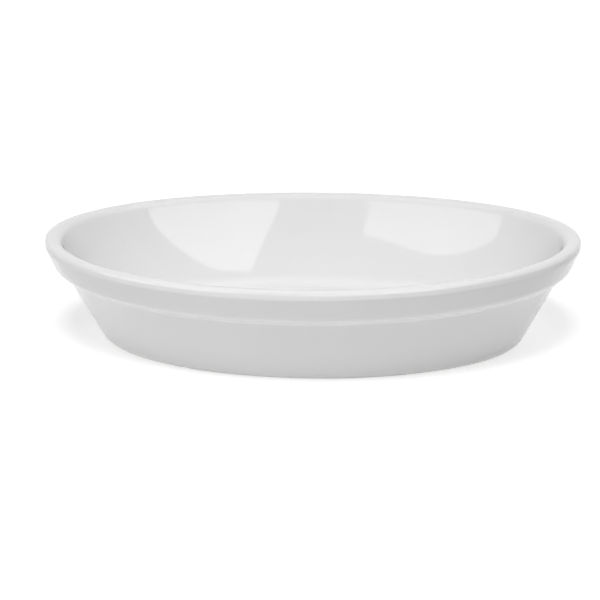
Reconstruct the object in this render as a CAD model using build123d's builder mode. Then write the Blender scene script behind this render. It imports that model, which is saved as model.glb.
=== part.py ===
from build123d import *
import os
from math import cos, radians, tan

os.makedirs("parts", exist_ok=True)

# An oval gratin dish: one pressed and fired clay body, glazed all over but for its foot ring.
# Millimetres, and degrees from an upright line. X runs along the oval, Y across it and +Z is up.
# The origin lies on the table, under the middle of the dish.
# The sizes are those of the glazed dish. The clay lies one glaze thickness inside them.

# Dish over all, its height being that of the rim's two ends
dish_length = 200.0
dish_width = 145.0
dish_height = 40.0

# Rise of the rim from the middle of each side to the ends
end_rise = 1.6

# Collar, the thick band round the rim, and the sloping ledge under it
collar_height = 11.8
collar_angle = 22.0
collar_corner_radius = 4.2
lip_outer_radius = 2.5
lip_inner_radius = 3.0
ledge_width = 3.5
ledge_angle = 65.0
ledge_corner_radius = 2.0

# Wall and floor, the wall's angle being that of the sides and its hollow that of the bowl's face
wall_angle = 29.0
wall_thickness = 4.8
bowl_hollow = 1.1
floor_height = 5.2
floor_corner_radius = 9.0
base_corner_radius = 5.0

# Foot ring and the shallow recess inside it
foot_width = 4.5
foot_edge_radius = 0.5
recess_depth = 1.2
recess_angle = 50.0
recess_corner_radius = 0.6

# Glaze, and the height at which it is wiped off the foot
glaze_thickness = 0.35
glaze_line = 0.7

# Overrun of a cut past the face that it opens
overrun = 1.0

# Angle between an upright line and a level one
quarter_turn = 90.0


def lean(height, angle):
    """How far a face that leans out by an angle moves out over a height."""
    return height * tan(radians(angle))


def across(thickness, angle):
    """Level distance through a wall or skin that leans by an angle."""
    return thickness / cos(radians(angle))


def corner_reach(radius, turn):
    """Distance from a sharp corner that turns by turn to the start of its round."""
    return radius * tan(radians(turn / 2))


# The collar's face runs up to a sharp edge, which the lip's round takes off again. That edge lies
# outside the rim's widest line by as much as the round's reach is more than its radius.
lip_height = dish_height - end_rise
collar_low = lip_height - collar_height
wall_top = collar_low - lean(ledge_width, quarter_turn - ledge_angle)
lip_overhang = corner_reach(lip_outer_radius, quarter_turn + collar_angle) - lip_outer_radius
collar_low_step = lip_overhang - lean(collar_height, collar_angle)
wall_top_step = collar_low_step - ledge_width
wall_foot_step = wall_top_step - lean(wall_top, wall_angle)
base_step = wall_foot_step - corner_reach(base_corner_radius, quarter_turn - wall_angle)
recess_step = base_step - foot_width
bowl_middle = (floor_height + dish_height) / 2


# Each face gives its step outside the rim's widest oval at a height, less than zero inside it.
# The rise is that of the rim there: zero at the middle of a side and end_rise at an end.
def collar_face(height, rise):
    return lip_overhang - lean(lip_height + rise - height, collar_angle)


def ledge_face(height, rise):
    return collar_low_step + lean(height - collar_low - rise, ledge_angle)


def wall_face(height, rise):
    return wall_foot_step + (wall_top_step - wall_foot_step) * height / (wall_top + rise)


def bowl_face(height, rise):
    """It bows outwards from the straight line through its ends, by bowl_hollow halfway up."""
    share = (height - floor_height) / (lip_height + rise - floor_height)
    bow = bowl_hollow * (1 - (2 * share - 1) ** 2)
    return wall_face(height, rise) - across(wall_thickness, wall_angle) + bow


def recess_face(height, rise):
    return recess_step - lean(height, recess_angle)


def oval_taper(face, *heights, outwards=0, low_radius=0, high_radius=0):
    """Solid inside a face from the first height to the last, with its two edges rounded.

    It is straight between two heights and a smooth curve through three."""
    with BuildPart() as taper:
        for height in heights:
            with BuildSketch(Plane.XY.offset(height)):
                half_length = dish_length / 2 + face(height, end_rise) + outwards
                half_width = dish_width / 2 + face(height, 0) + outwards
                Ellipse(half_length, half_width)
        loft(ruled=len(heights) == 2)
        if low_radius:
            fillet(taper.edges().group_by(Axis.Z)[0], low_radius)
        if high_radius:
            fillet(taper.edges().group_by(Axis.Z)[-1], high_radius)
    return taper.part


def collar_form(skin):
    """The collar, cut off along an arc that rises from the middle of the dish to its ends."""
    # It starts inside the wall, below the ledge
    low = wall_top - overrun
    reach = dish_length / 2 + lip_overhang + overrun
    middle = lip_height - skin
    end = middle + end_rise * (reach / (dish_length / 2)) ** 2
    with BuildPart() as collar:
        add(oval_taper(collar_face, low, dish_height + overrun,
                       outwards=-across(skin, collar_angle)))
        add(oval_taper(ledge_face, low, dish_height + overrun,
                       outwards=-across(skin, ledge_angle)), mode=Mode.INTERSECT)
        fillet(collar.edges().filter_by(lambda edge: edge.is_closed).sort_by(Axis.Z)[1],
               collar_corner_radius - skin)
        with BuildSketch(Plane.XZ):
            with BuildLine():
                ThreePointArc((-reach, end), (0, middle), (reach, end))
                Polyline((-reach, end), (-reach, 0), (reach, 0), (reach, end))
            make_face()
        extrude(amount=dish_width / 2 + lip_overhang + overrun, both=True, mode=Mode.INTERSECT)
        fillet(collar.edges().group_by(Axis.Z)[-1], lip_outer_radius - skin)
    return collar.part


def dish_form(skin):
    """The dish with every face moved in by skin, apart from the foot that it stands on."""
    wall_skin = across(skin, wall_angle)
    # The wall runs on into the collar
    wall_end = collar_low + end_rise + overrun
    with BuildPart() as form:
        add(oval_taper(wall_face, 0, wall_end, outwards=-wall_skin,
                       low_radius=base_corner_radius - skin))
        add(collar_form(skin))
        fillet(form.edges(Select.NEW), ledge_corner_radius + skin)
        add(oval_taper(bowl_face, floor_height - skin, bowl_middle, dish_height + overrun,
                       outwards=wall_skin, low_radius=floor_corner_radius + skin),
            mode=Mode.SUBTRACT)
        fillet(form.edges(Select.NEW), lip_inner_radius - skin)
        add(oval_taper(recess_face, -overrun, recess_depth + skin,
                       outwards=across(skin, recess_angle),
                       high_radius=recess_corner_radius + skin), mode=Mode.SUBTRACT)
        fillet(form.edges(Select.NEW), foot_edge_radius)
    return form.part


# Clay body, the whole dish under its glaze
with BuildPart() as clay_body:
    add(dish_form(glaze_thickness))
clay_body.part.label = "clay_body"

# The bare foot ring parts the glaze in two. This core runs up from the middle of the ring to half
# the floor's height, and holds the glaze that lies inside the ring.
foot_middle = base_step - foot_width / 2
foot_core = oval_taper(lambda height, rise: foot_middle, 0, floor_height / 2)
glazed_dish = dish_form(0)

# Glaze over the bowl, the lip and the outside, down to the glaze line
with BuildPart() as glaze_coat:
    add(glazed_dish)
    split(bisect_by=Plane.XY.offset(glaze_line), keep=Keep.TOP)
    add(clay_body.part, mode=Mode.SUBTRACT)
    add(foot_core, mode=Mode.SUBTRACT)
glaze_coat.part.label = "glaze_coat"

# Glaze in the recess inside the foot ring
with BuildPart() as underside_glaze:
    add(glazed_dish)
    split(bisect_by=Plane.XY.offset(glaze_line), keep=Keep.TOP)
    add(clay_body.part, mode=Mode.SUBTRACT)
    add(foot_core, mode=Mode.INTERSECT)
underside_glaze.part.label = "underside_glaze"

for node in (clay_body, glaze_coat, underside_glaze):
    export_step(node.part, f"parts/{node.part.label}.step")
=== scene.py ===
from math import cos, pi, radians, sin, tau

import bpy
import numpy as np
from bpy.props import FloatProperty, FloatVectorProperty, PointerProperty
from bpy.types import Operator, Panel, PropertyGroup
from mathutils import Matrix, Vector


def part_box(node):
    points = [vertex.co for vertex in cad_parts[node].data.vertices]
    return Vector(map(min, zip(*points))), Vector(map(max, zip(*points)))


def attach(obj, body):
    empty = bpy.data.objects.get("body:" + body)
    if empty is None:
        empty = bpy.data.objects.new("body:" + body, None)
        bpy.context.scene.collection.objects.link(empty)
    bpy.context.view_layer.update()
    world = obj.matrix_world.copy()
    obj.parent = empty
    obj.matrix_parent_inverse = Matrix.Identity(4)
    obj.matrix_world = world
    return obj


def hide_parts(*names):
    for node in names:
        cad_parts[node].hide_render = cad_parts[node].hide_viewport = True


bl_info = {
    "name": "Oval gratin dish",
    "version": (1, 0, 0),
    "blender": (4, 5, 0),
    "location": "3D View > Sidebar > Gratin dish",
    "description": "Glazes an oval gratin dish over its clay body and sets it on a lit table",
    "category": "Object",
}

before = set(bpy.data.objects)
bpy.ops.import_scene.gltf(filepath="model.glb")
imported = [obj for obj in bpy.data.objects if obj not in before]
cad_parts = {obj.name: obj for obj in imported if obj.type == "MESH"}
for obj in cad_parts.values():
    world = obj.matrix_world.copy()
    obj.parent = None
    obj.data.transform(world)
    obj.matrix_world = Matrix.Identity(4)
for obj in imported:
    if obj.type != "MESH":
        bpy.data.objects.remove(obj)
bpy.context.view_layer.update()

ROOT_BODY = "root"
COAT = "glaze_coat"
UNDERSIDE = "underside_glaze"
CLAY = "clay_body"
MM = 0.001

# Mesh attribute that says where the glaze runs thin
THIN = "thin"

# Points round the oval, and rows along each stretch of the coat's section
COLUMNS = 384
FLOOR_ROWS = 18
ARC_ROWS = 12
RUN_ROWS = 14
HIDDEN_ARC_ROWS = 4
HIDDEN_RUN_ROWS = 3
BEAD_ROWS = 6

# Sines that make up the slow waves, and the turn from one to the next
WAVE_COUNT = 7
GOLDEN_ANGLE = pi * (3.0 - 5.0 ** 0.5)

# Times that a corner of the bowl is worked out again, until it has settled
TRIALS = 5

# Least length that a vector is divided by
TINY = 1e-12

# Fineness of the patterns in the glaze and in the clay, in waves to the metre
CLOUD_WAVES = 60.0
DIMPLE_WAVES = 500.0
FOG_WAVES = 900.0
SPECK_WAVES = 1400.0
GRAIN_WAVES = 2500.0

PLAIN_WHITE = (1.0, 1.0, 1.0, 1.0)


# Kinds of property, with lengths in metres, angles in degrees and powers in watts
def length(name, description, default):
    return FloatProperty(name=name, description=description, default=default, min=0.0,
                         unit="LENGTH", subtype="DISTANCE", precision=5)


def angle(name, description, degrees):
    return FloatProperty(name=name, description=description, default=radians(degrees),
                         unit="ROTATION", subtype="ANGLE")


def colour(name, description, default):
    return FloatVectorProperty(name=name, description=description, default=default, size=3,
                               subtype="COLOR", min=0.0, max=1.0)


def amount(name, description, default, highest=1.0):
    return FloatProperty(name=name, description=description, default=default, min=0.0,
                         max=highest)


def power(name, description, default):
    return FloatProperty(name=name, description=description, default=default, min=0.0,
                         unit="POWER")


class DishShape(PropertyGroup):
    """Sizes of the glazed dish.

    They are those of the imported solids, but for four rounds that the bright bands in the
    photograph gave later: the collar's corner, the lip's edge and inside, and the ledge's corner.
    """
    dish_length: length("Length", "Rim over all, along X", 200.0 * MM)
    dish_width: length("Width", "Rim over all, along Y", 145.0 * MM)
    dish_height: length("Height", "Table to the rim's two ends", 40.0 * MM)
    end_rise: length("End rise", "Rise of the rim to its ends", 1.6 * MM)
    collar_height: length("Collar height", "Height of the band round the rim", 11.8 * MM)
    collar_angle: angle("Collar angle", "Lean of the collar from upright", 22.0)
    collar_corner: length("Collar corner", "Radius of its lower edge", 6.4 * MM)
    lip_outside: length("Lip outside", "Radius below the lip's widest line", 2.5 * MM)
    lip_edge: length("Lip edge", "Radius above the lip's widest line", 1.6 * MM)
    lip_inside: length("Lip inside", "Radius of the lip's inner edge", 4.0 * MM)
    ledge_width: length("Ledge", "Width of the sloping step under the collar", 3.5 * MM)
    ledge_angle: angle("Ledge angle", "Lean of the ledge from upright", 65.0)
    ledge_corner: length("Ledge corner", "Radius where the ledge meets the wall", 3.8 * MM)
    wall_angle: angle("Wall angle", "Lean of the wall from upright", 29.0)
    wall_thickness: length("Wall", "Thickness of the wall", 4.8 * MM)
    bowl_hollow: length("Bowl hollow", "Bow of the bowl's wall, halfway up", 1.1 * MM)
    floor_height: length("Floor", "Table to the floor of the bowl", 5.2 * MM)
    floor_corner: length("Floor corner", "Radius where the bowl meets its floor", 9.0 * MM)
    base_corner: length("Base corner", "Radius where the wall meets the foot", 5.0 * MM)
    foot_width: length("Foot width", "Width of the bare foot ring", 4.5 * MM)
    recess_depth: length("Recess depth", "Hollow inside the foot ring", 1.2 * MM)
    recess_angle: angle("Recess angle", "Lean of the hollow's side from upright", 50.0)
    recess_corner: length("Recess corner", "Radius of the hollow's edge", 0.6 * MM)
    glaze_thickness: length("Glaze", "Thickness of the glaze", 0.35 * MM)
    glaze_line: length("Glaze line", "Height at which the glaze stops on the foot", 0.7 * MM)
    ripple: length("Ripple", "Depth of the glaze's slow waves", 0.06 * MM)
    ripple_length: length("Ripple length", "Length of the glaze's slow waves", 45.0 * MM)
    clearance: length("Clearance", "Least depth of the glaze inside the packed solid", 0.025 * MM)


class GlazeLook(PropertyGroup):
    """Finish of the white glaze."""
    white: colour("White", "Colour of the glaze", (0.80, 0.80, 0.80))
    thin_white: colour("Thin glaze", "Colour where it runs thin over an edge", (0.79, 0.79, 0.79))
    edge_share: amount("Edge share", "How much of the thin colour shows on the lip", 0.5)
    cloud_share: amount("Cloud share", "How much of the thin colour shows in faint clouds", 0.35)
    roughness: amount("Roughness", "Blur of what the glaze mirrors", 0.02)
    fog: amount("Fog", "Times by which the blur grows and shrinks", 1.25, highest=5.0)
    dimple_strength: amount("Dimple strength", "Strength of its fine dimples", 0.05)
    dimple_depth: length("Dimple depth", "Depth of its fine dimples", 0.02 * MM)


class ClayLook(PropertyGroup):
    """Finish of the bare clay of the foot ring."""
    pale: colour("Pale", "Colour of the clay", (0.62, 0.585, 0.53))
    dark: colour("Dark", "Colour of its specks", (0.40, 0.35, 0.29))
    grain_share: amount("Grain share", "How much of the dark colour shows in its grain", 0.4)
    roughness: amount("Roughness", "Roughness of the clay", 0.85)
    grain_strength: amount("Grain strength", "Strength of the grain's relief", 0.5)
    grain_depth: length("Grain depth", "Depth of the grain's relief", 0.05 * MM)


class StageLook(PropertyGroup):
    """Camera, table and surroundings."""
    distance: length("Distance", "Camera to the middle of the dish", 0.6)
    aim_height: length("Aim height", "Height of the point that the camera looks at", 15.0 * MM)
    azimuth: angle("Azimuth", "Camera's turn round the dish", 6.544)
    elevation: angle("Elevation", "Camera's height above the table", 16.984)
    pan: angle("Pan", "Camera turned aside from its aim", 0.395)
    tilt: angle("Tilt", "Camera turned down from its aim", 0.140)
    roll: angle("Roll", "Camera turned about its aim", -0.622)
    lens: FloatProperty(name="Lens", description="Focal length", default=95.11, unit="CAMERA",
                        min=1.0)
    nearest: length("Nearest", "Distance from which the camera sees", 10.0 * MM)
    sky: amount("Sky", "Light from the white surroundings", 0.08)
    table: colour("Table", "Colour of the table", (0.55, 0.55, 0.55))
    table_reach: length("Table reach", "Middle of the table to each of its sides", 6.0)
    table_light: amount("Table light", "Light that the table gives by itself", 0.34)
    near_glow: amount("Near glow", "White that is seen on top of the table at the dish", 0.65)
    near_edge: length("Near edge", "Distance at which the table starts to fade to white", 0.2)
    far_edge: length("Far edge", "Distance at which the table is all white", 0.6)


class LampLook(PropertyGroup):
    """Soft lamps that light the dish, each a square panel that faces its middle."""
    distance: length("Distance", "Lamp to the middle of the dish", 1.2)
    key_side: length("Key side", "Side of the main panel", 0.4)
    key_azimuth: angle("Key azimuth", "Turn of the main lamp from the front", 0.0)
    key_elevation: angle("Key elevation", "Height of the main lamp", 62.0)
    key_power: power("Key power", "Light from high in front", 10.7)
    fill_side: length("Fill side", "Side of the second panel", 0.8)
    fill_azimuth: angle("Fill azimuth", "Turn of the second lamp from the front", -50.0)
    fill_elevation: angle("Fill elevation", "Height of the second lamp", 15.0)
    fill_power: power("Fill power", "Light from low on the left", 1.8)
    rear_side: length("Rear side", "Side of the third panel", 0.8)
    rear_azimuth: angle("Rear azimuth", "Turn of the third lamp from the front", 135.0)
    rear_elevation: angle("Rear elevation", "Height of the third lamp", 50.0)
    rear_power: power("Rear power", "Light from behind on the right", 2.6)


class MirrorLook(PropertyGroup):
    """Light boxes that show only as reflections in the glaze."""
    distance: length("Distance", "Light box to the middle of the dish", 1.5)
    top_glow: amount("Top glow", "Brightness of the top box", 0.9, highest=20.0)
    top_azimuth: angle("Top azimuth", "Turn of the top box from the front", 0.0)
    top_elevation: angle("Top elevation", "Height of the top box, past upright if behind", 98.0)
    top_width: length("Top width", "Width of the top box", 2.0)
    top_height: length("Top height", "Height of the top box", 1.05)
    top_lean: angle("Top lean", "Lean of the top box", 0.0)
    top_turn: angle("Top turn", "Turn of the top box about its upright", 0.0)
    top_roll: angle("Top roll", "Roll of the top box about its middle", 0.0)
    left_glow: amount("Left glow", "Brightness of the left box", 2.46, highest=20.0)
    left_azimuth: angle("Left azimuth", "Turn of the left box from the front", 18.7)
    left_elevation: angle("Left elevation", "Height of the left box", 21.7)
    left_width: length("Left width", "Width of the left box", 1.459)
    left_height: length("Left height", "Height of the left box", 2.0)
    left_lean: angle("Left lean", "Lean of the left box", -30.0)
    left_turn: angle("Left turn", "Turn of the left box about its upright", 30.6)
    left_roll: angle("Left roll", "Roll of the left box about its middle", -45.6)
    right_glow: amount("Right glow", "Brightness of the right box", 2.08, highest=20.0)
    right_azimuth: angle("Right azimuth", "Turn of the right box from the front", -63.8)
    right_elevation: angle("Right elevation", "Height of the right box", 11.1)
    right_width: length("Right width", "Width of the right box", 1.892)
    right_height: length("Right height", "Height of the right box", 1.232)
    right_lean: angle("Right lean", "Lean of the right box", 30.0)
    right_turn: angle("Right turn", "Turn of the right box about its upright", 47.1)
    right_roll: angle("Right roll", "Roll of the right box about its middle", 20.9)


def shape():
    """The dish's sizes, as they stand in the scene."""
    return bpy.context.scene.dish_shape


def round_oval():
    """Angles of the columns, evenly spaced in one turn round the oval from its end at plus X."""
    return np.arange(COLUMNS) * tau / COLUMNS


def unit(vectors):
    """Vectors over their own lengths."""
    return vectors / np.maximum(np.linalg.norm(vectors, axis=-1, keepdims=True), TINY)


def arc_at_corner(before, corner, after, radius, rows):
    """Round in a corner of the section: the circle of that radius that touches both lines.

    It starts radius times tan(turn / 2) before the corner, and at a turn of u radians it is the
    circle's middle, less cos(u) radii of the inward normal, plus sin(u) radii of the first line's
    direction. Points have the shape rows by columns by two: step outwards and height.
    """
    first = unit(corner - before)
    second = unit(after - corner)
    turn = np.arccos(np.clip((first * second).sum(-1), -1.0, 1.0))[..., None]
    inward = unit(second - first * (first * second).sum(-1, keepdims=True))
    start = corner - first * radius * np.tan(turn / 2)
    middle = start + inward * radius
    share = np.linspace(0.0, 1.0, rows + 1)[:, None, None]
    return middle - radius * np.cos(share * turn) * inward + radius * np.sin(share * turn) * first


def rounded_section(start, bends, end, arc_rows, run_rows, bow=0.0):
    """Section from its start through its bends to its end, with rows spread along the runs.

    A run's point is its start plus a share of the way to its end. The first run after a bend
    also bows outwards, by 4 bow share (1 - share).
    """
    stretches = [start[None]]
    for index, arc in enumerate([*(arc_at_corner(*bend, arc_rows) for bend in bends), end[None]]):
        last = stretches[-1][-1]
        share = np.linspace(0.0, 1.0, run_rows + 1)[1:-1, None, None]
        run = last + (arc[0] - last) * share
        if index == 1:
            run[:, :, 0] += bow * (4.0 * share * (1.0 - share))[:, :, 0]
        stretches += [run, arc]
    return np.concatenate(stretches)


def wall_height():
    """Height of the wall's top at the middle of a side.

    It is that of the collar's lower edge, less the ledge's width over the tangent of its angle.
    """
    dish = shape()
    collar_low = dish.dish_height - dish.end_rise - dish.collar_height
    return collar_low - dish.ledge_width / np.tan(dish.ledge_angle)


def outer_steps():
    """Steps outwards from the rim's widest oval, less than zero inside it.

    They are those of the collar's sharp upper and lower edges, the wall's top under the ledge,
    the wall's foot and the foot ring's inner edge. A leaning face steps out by its height times
    the tangent of its angle, and a round reaches its radius times tan(turn / 2) from its corner.
    """
    dish = shape()
    overhang = dish.lip_outside * (np.tan((pi / 2 + dish.collar_angle) / 2) - 1.0)
    collar_low = overhang - dish.collar_height * np.tan(dish.collar_angle)
    wall_top = collar_low - dish.ledge_width
    wall_foot = wall_top - wall_height() * np.tan(dish.wall_angle)
    base = wall_foot - dish.base_corner * np.tan((pi / 2 - dish.wall_angle) / 2)
    return overhang, collar_low, wall_top, wall_foot, base - dish.foot_width


def dish_section(skin, arc_rows, run_rows):
    """Section of the dish, moved in by skin, from the floor's edge over the lip to the foot.

    Each corner is where two faces of the section cross, and a skin of a leaning face is its
    thickness over the cosine. The bowl's face bows outwards by bowl_hollow times
    1 - (2 share - 1) squared, where share is that of its height. The rim rises by end_rise times
    the square of the distance along X, as a share of half the length.
    """
    dish = shape()
    turns = round_oval()
    overhang, collar_low, wall_top, wall_foot, _ = outer_steps()
    rise = dish.end_rise * np.cos(turns) ** 2
    lip = dish.dish_height - dish.end_rise
    wall_slope = (wall_top - wall_foot) / (wall_height() + rise)
    bowl_depth = lip + rise - dish.floor_height
    floor = dish.floor_height - skin

    def point(step, height):
        """A step and a height as a point in each column."""
        return np.stack(np.broadcast_arrays(step, height, rise)[:2], axis=-1)

    def rim_height(step):
        """Height of the rim's top at a step."""
        return lip - skin + rise * (1.0 + step / (dish.dish_length / 2)) ** 2

    def ledge_crossing(face_step, height, lean):
        """Where the ledge, moved in by skin, crosses a face that steps out by lean times its
        height. At that height the gap between the two is zero."""
        ledge_step = (collar_low - skin / np.cos(dish.ledge_angle)
                      + (height - (lip - dish.collar_height + rise)) * np.tan(dish.ledge_angle))
        change = (face_step - ledge_step) / (np.tan(dish.ledge_angle) - lean)
        return point(face_step + change * lean, height + change)

    def bowl_step(height):
        """Step of the bowl's face: the wall's, less its thickness, plus the bow."""
        share = (height - dish.floor_height) / bowl_depth
        bow = dish.bowl_hollow * (1.0 - (2.0 * share - 1.0) ** 2)
        return (wall_foot + wall_slope * height + bow
                - (dish.wall_thickness - skin) / np.cos(dish.wall_angle))

    def bowl_slope(height):
        """Change of the bowl's step with its height."""
        share = (height - dish.floor_height) / bowl_depth
        return wall_slope - 4.0 * dish.bowl_hollow * (2.0 * share - 1.0) / bowl_depth

    def bowl_corner(level, upwards, radius):
        """Where the bowl's line at the end of a round crosses a level, and the round's end.

        The end lies radius times tan(turn / 2) along that line. The line's own lean hangs on
        where it ends, so the height is worked out again a few times and settles.
        """
        height = np.broadcast_to(level, rise.shape)
        for _ in range(TRIALS):
            lean = np.arctan(bowl_slope(height))
            height = level + upwards * radius * np.tan((pi / 2 - lean) / 2) * np.cos(lean)
        step = bowl_step(height)
        return point(step + (level - height) * bowl_slope(height), level), point(step, height)

    lip_radius = dish.lip_inside - skin
    floor_corner, bowl_low = bowl_corner(floor, 1.0, dish.floor_corner + skin)
    lip_inside, bowl_high = bowl_corner(rim_height(bowl_step(lip)), -1.0, lip_radius)
    lip_outside = point(-skin, rim_height(-skin))
    side_step = overhang + skin - skin / np.cos(dish.collar_angle)
    lip_side = point(-skin, lip + rise - side_step / np.tan(dish.collar_angle))
    collar_edge = ledge_crossing(lip_side[:, 0], lip_side[:, 1], np.tan(dish.collar_angle))
    wall_low = point(wall_foot - skin / np.cos(dish.wall_angle), 0.0)
    wall_high = ledge_crossing(wall_low[:, 0], wall_low[:, 1], wall_slope)
    # The section starts on the floor and ends on the foot, clear of the rounds there
    start = floor_corner - np.array([dish.floor_corner, 0.0])
    end = wall_low - np.array([dish.base_corner, 0.0])
    bends = [(start, floor_corner, bowl_low, dish.floor_corner + skin),
             (bowl_high, lip_inside, lip_outside, lip_radius),
             (lip_inside, lip_outside, lip_side, dish.lip_edge - skin),
             (lip_outside, lip_side, collar_edge, dish.lip_outside - skin),
             (lip_side, collar_edge, wall_high, dish.collar_corner - skin),
             (collar_edge, wall_high, wall_low, dish.ledge_corner + skin),
             (wall_high, wall_low, end, dish.base_corner - skin)]
    # A stretch of the bowl's face bows by the square of its share of the whole
    run_share = (bowl_high[:, 1] - bowl_low[:, 1]) / bowl_depth
    return rounded_section(start, bends, end, arc_rows, run_rows,
                           bow=dish.bowl_hollow * run_share ** 2)


def cut_at_height(section, height):
    """The section down to a height on its foot, its last row put exactly at that height, on the
    line from the row above it to the row below."""
    heights = section[:, :, 1].max(axis=1)
    lowest = np.nonzero(heights > height)[0][-1]
    above = section[lowest]
    below = section[lowest + 1]
    share = (above[:, 1:] - height) / (above[:, 1:] - below[:, 1:])
    return np.concatenate([section[:lowest + 1], (above + (below - above) * share)[None]])


def carry_round(section):
    """Carries a section round the oval: half length plus step times cosine, half width plus
    step times sine, and the height as it is."""
    dish = shape()
    turns = round_oval()
    return np.stack([(dish.dish_length / 2 + section[:, :, 0]) * np.cos(turns),
                     (dish.dish_width / 2 + section[:, :, 0]) * np.sin(turns),
                     section[:, :, 1]], axis=-1)


def spread_to_middle(ring, rows):
    """Rows from near the middle of a level face out to the ring that bounds it, which is each
    time the ring made smaller by a share."""
    share = np.linspace(0.0, 1.0, rows + 1)[1:-1, None, None]
    middle = np.array([0.0, 0.0, 1.0]) * ring.mean(axis=0)
    return middle + (ring - middle) * share


def surface_normals(grid):
    """Outward normals: the cross product of the steps along the rows and along the columns."""
    along = np.gradient(grid, axis=0)
    around = np.roll(grid, -1, axis=1) - np.roll(grid, 1, axis=1)
    return unit(np.cross(along, around))


def slow_waves(places):
    """Waves between zero and one: the mean of sines that run in directions a golden angle
    apart, each a little shorter than the one before."""
    longest = shape().ripple_length
    total = np.zeros(places.shape[:-1])
    for index in range(WAVE_COUNT):
        turn = index * GOLDEN_ANGLE
        direction = np.array([cos(turn), sin(turn), cos(turn * 2.0)])
        waves = (1.0 + index / WAVE_COUNT) / longest
        total += np.sin(places @ direction * tau * waves + turn)
    return 0.5 + 0.5 * total / WAVE_COUNT


def shell_mesh(name, grid, attributes):
    """Closed mesh from a grid whose rows run from a pole to a pole and whose columns close.

    Quads join neighbouring rows, and a fan of triangles closes each pole.
    """
    rows, columns = grid.shape[:2]
    first_pole = grid[0].mean(axis=0)
    last_pole = grid[-1].mean(axis=0)
    points = np.concatenate([grid.reshape(-1, 3), first_pole[None], last_pole[None]])
    row, column = np.meshgrid(np.arange(rows - 1), np.arange(columns), indexing="ij")
    ahead = (column + 1) % columns
    quads = np.stack([row * columns + column, row * columns + ahead,
                      (row + 1) * columns + ahead, (row + 1) * columns + column], axis=-1)
    around = np.arange(columns)
    ahead = (around + 1) % columns
    first_fan = np.stack([np.full(columns, rows * columns), ahead, around], axis=-1)
    base = (rows - 1) * columns
    last_fan = np.stack([np.full(columns, rows * columns + 1), base + around, base + ahead],
                        axis=-1)
    faces = quads.reshape(-1, 4).tolist() + first_fan.tolist() + last_fan.tolist()
    mesh = bpy.data.meshes.new(name)
    mesh.from_pydata(points.tolist(), [], faces)
    for label, values in attributes.items():
        layer = mesh.attributes.new(label, "FLOAT", "POINT")
        ends = [values[0].mean(), values[-1].mean()]
        layer.data.foreach_set("value", np.concatenate([values.ravel(), ends]))
    mesh.polygons.foreach_set("use_smooth", np.ones(len(mesh.polygons), bool))
    mesh.update()
    piece = bpy.data.objects.new(name, mesh)
    bpy.context.scene.collection.objects.link(piece)
    return piece


def signed_volume(mesh):
    """Six times the volume inside a mesh: the sum over its triangles of their triple products."""
    mesh.calc_loop_triangles()
    corners = np.empty(len(mesh.loop_triangles) * 3, np.int32)
    mesh.loop_triangles.foreach_get("vertices", corners)
    points = np.empty(len(mesh.vertices) * 3)
    mesh.vertices.foreach_get("co", points)
    a, b, c = points.reshape(-1, 3)[corners.reshape(-1, 3)].transpose(1, 0, 2)
    return float((a * np.cross(b, c)).sum())


def face_outwards(piece):
    """Turns a closed mesh the right way out where its volume comes out below zero."""
    if signed_volume(piece.data) < 0.0:
        piece.data.flip_normals()
    if signed_volume(piece.data) <= 0.0:
        raise RuntimeError(f"{piece.name} has no inside")


def thin_share(section):
    """How sharply the section turns at each row: zero on a flat, one on the lip's outer round or
    a sharper one, and less than zero in a hollow.

    It is the turn between the steps before and after a row over their mean length, times the
    radius of the lip's outer round.
    """
    step = np.diff(section, axis=0)
    turn = np.zeros(section.shape[:2])
    heading = np.unwrap(np.arctan2(step[:, :, 1], step[:, :, 0]), axis=0)
    reach = np.linalg.norm(step, axis=-1)
    turn[1:-1] = np.diff(heading, axis=0) * 2.0 / (reach[1:] + reach[:-1])
    return np.clip(turn * shape().lip_outside, -1.0, 1.0)


def coat_grid():
    """Rows of the coat: over the visible side to the glaze line, round the bead there, and back
    along the clay."""
    dish = shape()
    section = cut_at_height(dish_section(0.0, ARC_ROWS, RUN_ROWS), dish.glaze_line)
    inner = cut_at_height(dish_section(dish.glaze_thickness, HIDDEN_ARC_ROWS, HIDDEN_RUN_ROWS),
                          dish.glaze_line)[::-1]
    turn = thin_share(section)
    visible = carry_round(section)
    hidden = carry_round(inner)
    visible = np.concatenate([spread_to_middle(visible[0], FLOOR_ROWS), visible])
    turn = np.concatenate([np.zeros((FLOOR_ROWS - 1, COLUMNS)), turn])
    normals = surface_normals(visible)
    depth = dish.clearance + dish.ripple * slow_waves(visible)
    visible = visible - normals * depth[..., None]
    # Bead: a half circle from the visible side's last row to the hidden side's first, its middle
    # plus the cosine times its reach plus the sine times its drop
    share = np.linspace(0.0, 1.0, BEAD_ROWS + 1)[1:-1, None, None]
    middle = (visible[-1] + hidden[0]) / 2
    reach = (visible[-1] - hidden[0]) / 2
    drop = np.array([0.0, 0.0, -1.0]) * np.linalg.norm(reach, axis=-1, keepdims=True)
    bead = middle + np.cos(share * pi) * reach + np.sin(share * pi) * drop
    hidden = np.concatenate([hidden, spread_to_middle(hidden[-1], HIDDEN_RUN_ROWS)[::-1]])
    grid = np.concatenate([visible, bead, hidden])
    spare = np.zeros((len(bead) + len(hidden), COLUMNS))
    return grid, np.concatenate([turn, spare])


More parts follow.
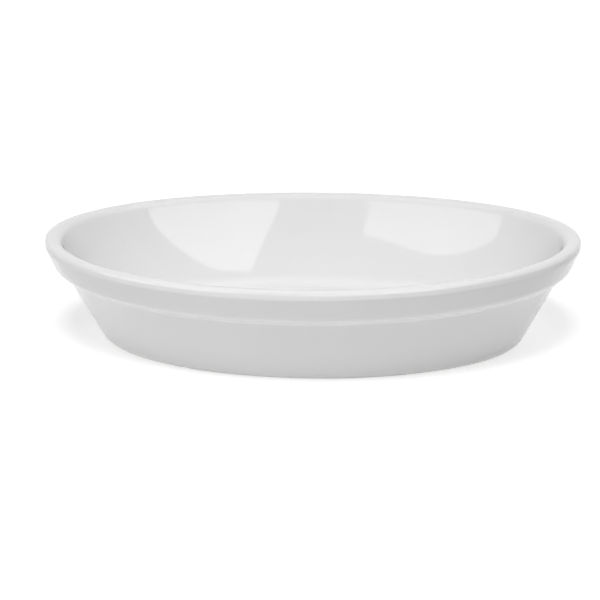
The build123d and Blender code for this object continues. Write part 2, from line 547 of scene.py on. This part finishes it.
def underside_grid():
    """Rows of the glaze in the hollow under the dish: from the middle of its visible side out
    to the glaze line, and back along the clay.

    Its side leans in by its height times the tangent of its angle, up to a round.
    """
    dish = shape()
    foot_inside = outer_steps()[-1]

    def side(skin, arc_rows, run_rows):
        depth = dish.recess_depth + skin
        lean = np.tan(dish.recess_angle)
        out = foot_inside + skin / np.cos(dish.recess_angle)
        rim = [out - dish.glaze_line * lean, dish.glaze_line]
        corner = [out - depth * lean, depth]
        inside = [out - depth * lean - 2.0 * dish.recess_corner, depth]
        start, corner, end = (np.broadcast_to(place, (COLUMNS, 2))
                              for place in (rim, corner, inside))
        bend = (start, corner, end, dish.recess_corner + skin)
        return rounded_section(start, [bend], end, arc_rows, run_rows)

    visible = carry_round(side(0.0, ARC_ROWS, HIDDEN_RUN_ROWS))[::-1]
    hidden = carry_round(side(dish.glaze_thickness, HIDDEN_ARC_ROWS, HIDDEN_RUN_ROWS))
    visible = np.concatenate([spread_to_middle(visible[0], FLOOR_ROWS), visible])
    hidden = np.concatenate([hidden, spread_to_middle(hidden[-1], HIDDEN_RUN_ROWS)[::-1]])
    depth = dish.ripple * slow_waves(visible)
    visible = visible + np.array([0.0, 0.0, 1.0]) * depth[..., None]
    grid = np.concatenate([visible, hidden])
    return grid, np.zeros(grid.shape[:2])


def new_material(name):
    """A new material, its node tree and the shader in it."""
    material = bpy.data.materials.new(name)
    material.use_nodes = True
    tree = material.node_tree
    tree.nodes.clear()
    output = tree.nodes.new("ShaderNodeOutputMaterial")
    shader = tree.nodes.new("ShaderNodeBsdfPrincipled")
    tree.links.new(shader.outputs["BSDF"], output.inputs["Surface"])
    return material, tree, shader


def noise(tree, waves, detail=2.0):
    """Noise over Object coordinates, with so many waves to the metre."""
    place = tree.nodes.new("ShaderNodeTexCoord")
    texture = tree.nodes.new("ShaderNodeTexNoise")
    texture.inputs["Scale"].default_value = waves
    texture.inputs["Detail"].default_value = detail
    tree.links.new(place.outputs["Object"], texture.inputs["Vector"])
    return texture.outputs["Fac"]


def blend(tree, share, first, second):
    """Mixes two colours by a share, each a plain colour or another node's."""
    mix = tree.nodes.new("ShaderNodeMix")
    mix.data_type = "RGBA"
    tree.links.new(share, mix.inputs["Factor"])
    for socket, value in ((mix.inputs["A"], first), (mix.inputs["B"], second)):
        if isinstance(value, bpy.types.NodeSocket):
            tree.links.new(value, socket)
        else:
            socket.default_value = (*value, 1.0)
    return mix.outputs["Result"]


def spread(tree, value, from_low, from_high, to_low, to_high):
    """Carries a range of values onto another."""
    node = tree.nodes.new("ShaderNodeMapRange")
    for name, number in (("From Min", from_low), ("From Max", from_high),
                         ("To Min", to_low), ("To Max", to_high)):
        node.inputs[name].default_value = number
    tree.links.new(value, node.inputs["Value"])
    return node.outputs["Result"]


def raise_relief(tree, shader, height, strength, depth):
    """Lets light fall on a shader as on a relief, which is depth metres from low to high."""
    bump = tree.nodes.new("ShaderNodeBump")
    bump.inputs["Strength"].default_value = strength
    bump.inputs["Distance"].default_value = depth
    tree.links.new(height, bump.inputs["Height"])
    tree.links.new(bump.outputs["Normal"], shader.inputs["Normal"])


def clamped_sum(tree, first, second):
    """Sum of two values, held between zero and one."""
    add = tree.nodes.new("ShaderNodeMath")
    add.operation = "ADD"
    add.use_clamp = True
    tree.links.new(first, add.inputs[0])
    tree.links.new(second, add.inputs[1])
    return add.outputs["Value"]


def seen_rays(tree):
    """One for rays that show a thing, straight, mirrored or through glass, and else zero."""
    rays = tree.nodes.new("ShaderNodeLightPath")
    total = rays.outputs["Is Camera Ray"]
    for kind in ("Is Glossy Ray", "Is Transmission Ray"):
        total = clamped_sum(tree, total, rays.outputs[kind])
    return total


def glaze_material():
    """White glaze: whiter where it lies thick, thin over the lip, glossy, faintly dimpled."""
    look = bpy.context.scene.glaze_look
    material, tree, shader = new_material("white_glaze_finish")
    edge = tree.nodes.new("ShaderNodeAttribute")
    edge.attribute_name = THIN
    cloud = spread(tree, noise(tree, CLOUD_WAVES), from_low=0.35, from_high=0.65,
                   to_low=0.0, to_high=look.cloud_share)
    thin = spread(tree, edge.outputs["Fac"], from_low=0.0, from_high=1.0,
                  to_low=0.0, to_high=look.edge_share)
    tint = blend(tree, clamped_sum(tree, cloud, thin), tuple(look.white), tuple(look.thin_white))
    tree.links.new(tint, shader.inputs["Base Color"])
    blur = spread(tree, noise(tree, FOG_WAVES, detail=3.0), from_low=0.3, from_high=0.7,
                  to_low=look.roughness / look.fog, to_high=look.roughness * look.fog)
    tree.links.new(blur, shader.inputs["Roughness"])
    raise_relief(tree, shader, noise(tree, DIMPLE_WAVES), look.dimple_strength,
                 look.dimple_depth)
    return material


def clay_material():
    """Bare fired clay: pale and matt, with fine grain and scattered darker specks."""
    look = bpy.context.scene.clay_look
    material, tree, shader = new_material("fired_clay_finish")
    relief = noise(tree, GRAIN_WAVES, detail=4.0)
    grain = spread(tree, relief, from_low=0.3, from_high=0.7, to_low=0.0,
                   to_high=look.grain_share)
    speck = spread(tree, noise(tree, SPECK_WAVES, detail=1.0), from_low=0.66, from_high=0.72,
                   to_low=0.0, to_high=1.0)
    body = blend(tree, grain, tuple(look.pale), tuple(look.dark))
    tree.links.new(blend(tree, speck, body, tuple(look.dark)), shader.inputs["Base Color"])
    shader.inputs["Roughness"].default_value = look.roughness
    raise_relief(tree, shader, relief, look.grain_strength, look.grain_depth)
    return material


def finish_with(piece, material):
    """Gives a piece one material."""
    piece.data.materials.clear()
    piece.data.materials.append(material)


class DISH_OT_glaze_coat(Operator):
    """Makes the glaze over the bowl, the lip and the outside"""
    bl_idname = "gratin_dish.glaze_coat"
    bl_label = "Glaze the dish"

    def execute(self, context):
        grid, thin = coat_grid()
        piece = shell_mesh("bowl_and_wall_glaze", grid, {THIN: thin})
        face_outwards(piece)
        finish_with(piece, glaze_material())
        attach(piece, ROOT_BODY)
        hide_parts(COAT)
        return {"FINISHED"}


class DISH_OT_underside_glaze(Operator):
    """Makes the glaze in the hollow under the dish"""
    bl_idname = "gratin_dish.underside_glaze"
    bl_label = "Glaze the underside"

    def execute(self, context):
        grid, thin = underside_grid()
        piece = shell_mesh("foot_hollow_glaze", grid, {THIN: thin})
        face_outwards(piece)
        finish_with(piece, glaze_material())
        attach(piece, ROOT_BODY)
        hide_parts(UNDERSIDE)
        return {"FINISHED"}


class DISH_OT_clay_body(Operator):
    """Gives the clay body its bare fired finish"""
    bl_idname = "gratin_dish.clay_body"
    bl_label = "Fire the clay"

    def execute(self, context):
        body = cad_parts[CLAY]
        material = clay_material()
        for slot in body.material_slots:
            slot.material = material
        return {"FINISHED"}


def toward(azimuth, elevation):
    """Direction from the dish: azimuth from minus Y towards plus X, elevation from the table."""
    return Vector((sin(azimuth) * cos(elevation), -cos(azimuth) * cos(elevation),
                   sin(elevation)))


def turned(first, second, turn):
    """Turns two directions, square to each other, in their own plane: the first towards the
    second."""
    return first * cos(turn) + second * sin(turn), second * cos(turn) - first * sin(turn)


def hang(piece, place, across, up, back):
    """Puts a lamp or a camera at a place, looking away from its back."""
    axes = Matrix((across, up, back)).transposed().to_4x4()
    piece.matrix_world = Matrix.Translation(place) @ axes


def add_panel(name, azimuth, elevation, distance, size, energy, lean=0.0, turn=0.0, roll=0.0):
    """Flat panel of light that faces the dish, then leans, turns and rolls about its middle."""
    lamp = bpy.data.lights.new(name, "AREA")
    lamp.shape = "RECTANGLE"
    lamp.size, lamp.size_y = size
    lamp.energy = energy
    holder = bpy.data.objects.new(name, lamp)
    bpy.context.scene.collection.objects.link(holder)
    back = toward(azimuth, elevation)
    place = back * distance
    across = Vector((cos(azimuth), sin(azimuth), 0.0))
    up = back.cross(across)
    back, up = turned(back, up, lean)
    back, across = turned(back, across, turn)
    across, up = turned(across, up, roll)
    hang(holder, place, across, up, back)
    return holder


class DISH_OT_stage(Operator):
    """Sets the camera, the lamps and the table"""
    bl_idname = "gratin_dish.stage"
    bl_label = "Set the stage"

    def execute(self, context):
        look = context.scene.stage_look
        self.add_camera(context, look)
        self.add_table(context, look)
        self.add_sky(context, look)
        self.add_lamps(context.scene.lamp_look)
        self.add_mirror_boxes(context.scene.mirror_look)
        context.scene.view_settings.view_transform = "Standard"
        return {"FINISHED"}

    def add_lamps(self, look):
        """The panels light the dish and the table, and are not mirrored."""
        for name in ("key", "fill", "rear"):
            azimuth, elevation, side, energy = (
                getattr(look, f"{name}_{part}") for part in
                ("azimuth", "elevation", "side", "power"))
            panel = add_panel(f"{name}_lamp", azimuth, elevation, look.distance, (side, side),
                              energy)
            panel.visible_glossy = False

    def add_mirror_boxes(self, look):
        """The boxes are mirrored in the glaze and light nothing.

        A panel's power is its brightness times its area times pi.
        """
        for name in ("top", "left", "right"):
            glow, azimuth, elevation, width, height, lean, turn, roll = (
                getattr(look, f"{name}_{part}") for part in
                ("glow", "azimuth", "elevation", "width", "height", "lean", "turn", "roll"))
            panel = add_panel(f"{name}_light_box", azimuth, elevation, look.distance,
                              (width, height), glow * width * height * pi, lean, turn, roll)
            panel.visible_diffuse = False

    def add_camera(self, context, look):
        """The camera looks at a point above the middle of the dish, and then a little aside."""
        back = toward(look.azimuth, look.elevation)
        across = Vector((cos(look.azimuth), sin(look.azimuth), 0.0))
        place = back * look.distance + Vector((0.0, 0.0, look.aim_height))
        up = back.cross(across)
        back, across = turned(back, across, look.pan)
        back, up = turned(back, up, look.tilt)
        across, up = turned(across, up, look.roll)
        camera = bpy.data.cameras.new("camera")
        camera.lens = look.lens
        camera.clip_start = look.nearest
        holder = bpy.data.objects.new("camera", camera)
        context.scene.collection.objects.link(holder)
        hang(holder, place, across, up, back)
        context.scene.camera = holder

    def add_table(self, context, look):
        """A level square under the dish.

        It gives table_light as light. To rays that show it, its glow is from near_glow at the
        dish to one further off, on top of what it reflects, so that the dish's shadow stays.
        """
        reach = look.table_reach
        mesh = bpy.data.meshes.new("table")
        mesh.from_pydata([(-reach, -reach, 0), (reach, -reach, 0), (reach, reach, 0),
                          (-reach, reach, 0)], [], [(0, 1, 2, 3)])
        table = bpy.data.objects.new("table", mesh)
        context.scene.collection.objects.link(table)
        table.location.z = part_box(CLAY)[0].z
        material, tree, shader = new_material("table_finish")
        shader.inputs["Base Color"].default_value = (*look.table, 1.0)
        shader.inputs["Roughness"].default_value = 1.0
        shader.inputs["Specular IOR Level"].default_value = 0.0
        shader.inputs["Emission Color"].default_value = PLAIN_WHITE
        place = tree.nodes.new("ShaderNodeTexCoord")
        distance = tree.nodes.new("ShaderNodeVectorMath")
        distance.operation = "LENGTH"
        tree.links.new(place.outputs["Object"], distance.inputs[0])
        seen_glow = spread(tree, distance.outputs["Value"], look.near_edge, look.far_edge,
                           look.near_glow, 1.0)
        glow = spread(tree, seen_rays(tree), 0.0, 1.0, look.table_light, 1.0)
        tree.links.new(seen_glow, glow.node.inputs["To Max"])
        tree.links.new(glow, shader.inputs["Emission Strength"])
        finish_with(table, material)

    def add_sky(self, context, look):
        """White surroundings, at a strength of one to rays that show them and of sky as light."""
        world = bpy.data.worlds.new("white_surroundings")
        context.scene.world = world
        world.use_nodes = True
        tree = world.node_tree
        tree.nodes.clear()
        output = tree.nodes.new("ShaderNodeOutputWorld")
        backdrop = tree.nodes.new("ShaderNodeBackground")
        backdrop.inputs["Color"].default_value = PLAIN_WHITE
        tree.links.new(spread(tree, seen_rays(tree), 0.0, 1.0, look.sky, 1.0),
                       backdrop.inputs["Strength"])
        tree.links.new(backdrop.outputs["Background"], output.inputs["Surface"])


class DISH_PT_panel(Panel):
    """Lists the dish's sizes, finishes and steps"""
    bl_idname = "DISH_PT_panel"
    bl_label = "Gratin dish"
    bl_space_type = "VIEW_3D"
    bl_region_type = "UI"
    bl_category = "Gratin dish"

    def draw(self, context):
        for group in GROUPS:
            box = self.layout.box()
            for name in getattr(context.scene, group).__annotations__:
                box.prop(getattr(context.scene, group), name)
        for step in STEPS:
            self.layout.operator(step.bl_idname)


GROUPS = {"dish_shape": DishShape, "glaze_look": GlazeLook, "clay_look": ClayLook,
          "stage_look": StageLook, "lamp_look": LampLook, "mirror_look": MirrorLook}
STEPS = (DISH_OT_clay_body, DISH_OT_glaze_coat, DISH_OT_underside_glaze, DISH_OT_stage)


def register():
    for kind in (*GROUPS.values(), *STEPS, DISH_PT_panel):
        bpy.utils.register_class(kind)
    for name, kind in GROUPS.items():
        setattr(bpy.types.Scene, name, PointerProperty(type=kind))


def unregister():
    for name in GROUPS:
        delattr(bpy.types.Scene, name)
    for kind in (DISH_PT_panel, *reversed(STEPS), *reversed(GROUPS.values())):
        bpy.utils.unregister_class(kind)


def main():
    register()
    bpy.ops.gratin_dish.clay_body()
    bpy.ops.gratin_dish.glaze_coat()
    bpy.ops.gratin_dish.underside_glaze()
    bpy.ops.gratin_dish.stage()


if __name__ == "__main__":
    main()
